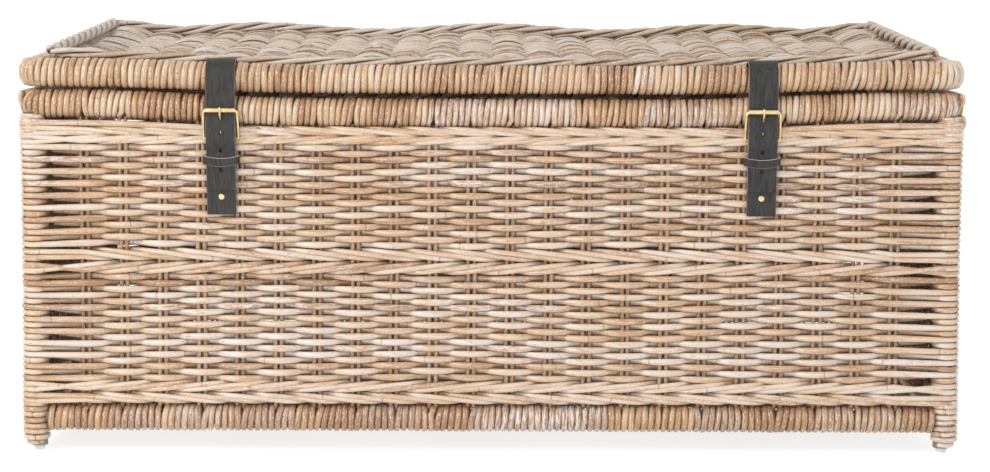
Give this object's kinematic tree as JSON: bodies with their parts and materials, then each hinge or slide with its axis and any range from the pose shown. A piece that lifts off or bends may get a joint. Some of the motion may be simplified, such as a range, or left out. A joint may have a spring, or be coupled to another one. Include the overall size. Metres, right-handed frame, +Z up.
{
  "type": "wicker storage trunk",
  "caption": "Long low wicker trunk on short corner posts, with a hinged woven lid, plaited lid border and buckled leather straps.",
  "frame": {"origin": "on the floor under the middle of the trunk", "axes": "+X to the right seen from the front, +Y to the back, where the lid is hinged, +Z up"},
  "size_m": [1, 0.5152, 0.4338],
  "materials": {
    "rattan_wrap": "natural rattan cane, satin with glossy skin",
    "rattan_weave": "natural grey rattan, white-washed in streaks, satin",
    "pole": "green-grey stained pole, matt",
    "leather": "black waxed leather, fine grain, paler cut edges",
    "brass": "polished brass wire",
    "glide_plastic": "cloudy white plastic"
  },
  "bodies": {
    "trunk": {"back_bottom_rail": "pole", "back_bottom_rail_wrap": "rattan_wrap", "back_left_post": "pole", "back_left_post_wrap": "rattan_wrap", "back_panel": "rattan_weave", "back_right_post": "pole", "back_right_post_wrap": "rattan_wrap", "base_cross_poles": "pole", "base_panel": "rattan_weave", "body_rim_back_wrap": "rattan_wrap", "body_rim_frame": "pole", "body_rim_front_wrap": "rattan_wrap", "body_rim_left_wrap": "rattan_wrap", "body_rim_right_wrap": "rattan_wrap", "foot_glides": "glide_plastic", "front_bottom_rail": "pole", "front_bottom_rail_wrap": "rattan_wrap", "front_left_post": "pole", "front_left_post_wrap": "rattan_wrap", "front_panel": "rattan_weave", "front_right_post": "pole", "front_right_post_wrap": "rattan_wrap", "hinge_straps_body": "leather", "hinge_studs_body": "brass", "left_base_strap": "leather", "left_base_strap_stud": "brass", "left_bottom_rail": "pole", "left_bottom_rail_wrap": "rattan_wrap", "left_panel": "rattan_weave", "right_base_strap": "leather", "right_base_strap_stud": "brass", "right_bottom_rail": "pole", "right_bottom_rail_wrap": "rattan_wrap", "right_panel": "rattan_weave"},
    "lid": {"hinge_straps_lid": "leather", "hinge_studs_lid": "brass", "left_lid_strap": "leather", "left_lid_strap_stud": "brass", "lid_bars": "pole", "lid_border": "rattan_weave", "lid_panel": "rattan_weave", "lid_rim_back_wrap": "rattan_wrap", "lid_rim_frame": "pole", "lid_rim_front_wrap": "rattan_wrap", "lid_rim_left_wrap": "rattan_wrap", "lid_rim_right_wrap": "rattan_wrap", "right_lid_strap": "leather", "right_lid_strap_stud": "brass"},
    "left_tongue": {"left_strap_tongue": "leather"},
    "left_buckle": {"left_buckle_frame": "brass"},
    "left_prong": {"left_buckle_prong": "brass"},
    "left_keeper": {"left_strap_keeper": "leather"},
    "right_tongue": {"right_strap_tongue": "leather"},
    "right_buckle": {"right_buckle_frame": "brass"},
    "right_prong": {"right_buckle_prong": "brass"},
    "right_keeper": {"right_strap_keeper": "leather"}
  },
  "joints": [
    {"name": "lid_hinge", "type": "hinge", "parent": "trunk", "child": "lid", "pos_m": [0, 0.25155, 0.39], "axis": [-1, 0, 0], "range_deg": [0, 105], "deforming": ["left_strap_tongue", "right_strap_tongue"]},
    {"name": "left_strap_swing", "type": "hinge", "parent": "lid", "child": "left_tongue", "pos_m": [-0.285, -0.2342, 0.40292], "axis": [1, 0, 0], "range_deg": [0, 105]},
    {"name": "left_buckle_swing", "type": "hinge", "parent": "trunk", "child": "left_buckle", "pos_m": [-0.285, -0.2479, 0.3385], "axis": [1, 0, 0], "range_deg": [0, 90]},
    {"name": "left_prong_swing", "type": "hinge", "parent": "left_buckle", "child": "left_prong", "pos_m": [-0.285, -0.2479, 0.3385], "axis": [1, 0, 0], "range_deg": [0, 20]},
    {"name": "left_keeper_slide", "type": "slide", "parent": "trunk", "child": "left_keeper", "axis": [0, 0, 1], "range_m": [-0.02, 0.003]},
    {"name": "right_strap_swing", "type": "hinge", "parent": "lid", "child": "right_tongue", "pos_m": [0.285, -0.2342, 0.40292], "axis": [1, 0, 0], "range_deg": [0, 105]},
    {"name": "right_buckle_swing", "type": "hinge", "parent": "trunk", "child": "right_buckle", "pos_m": [0.285, -0.2479, 0.3385], "axis": [1, 0, 0], "range_deg": [0, 90]},
    {"name": "right_prong_swing", "type": "hinge", "parent": "right_buckle", "child": "right_prong", "pos_m": [0.285, -0.2479, 0.3385], "axis": [1, 0, 0], "range_deg": [0, 20]},
    {"name": "right_keeper_slide", "type": "slide", "parent": "trunk", "child": "right_keeper", "axis": [0, 0, 1], "range_m": [-0.02, 0.003]}
  ],
  "couplings": [
    {"joint": "left_strap_swing", "follows": "lid_hinge", "ratio": 1},
    {"joint": "right_strap_swing", "follows": "lid_hinge", "ratio": 1}
  ]
}
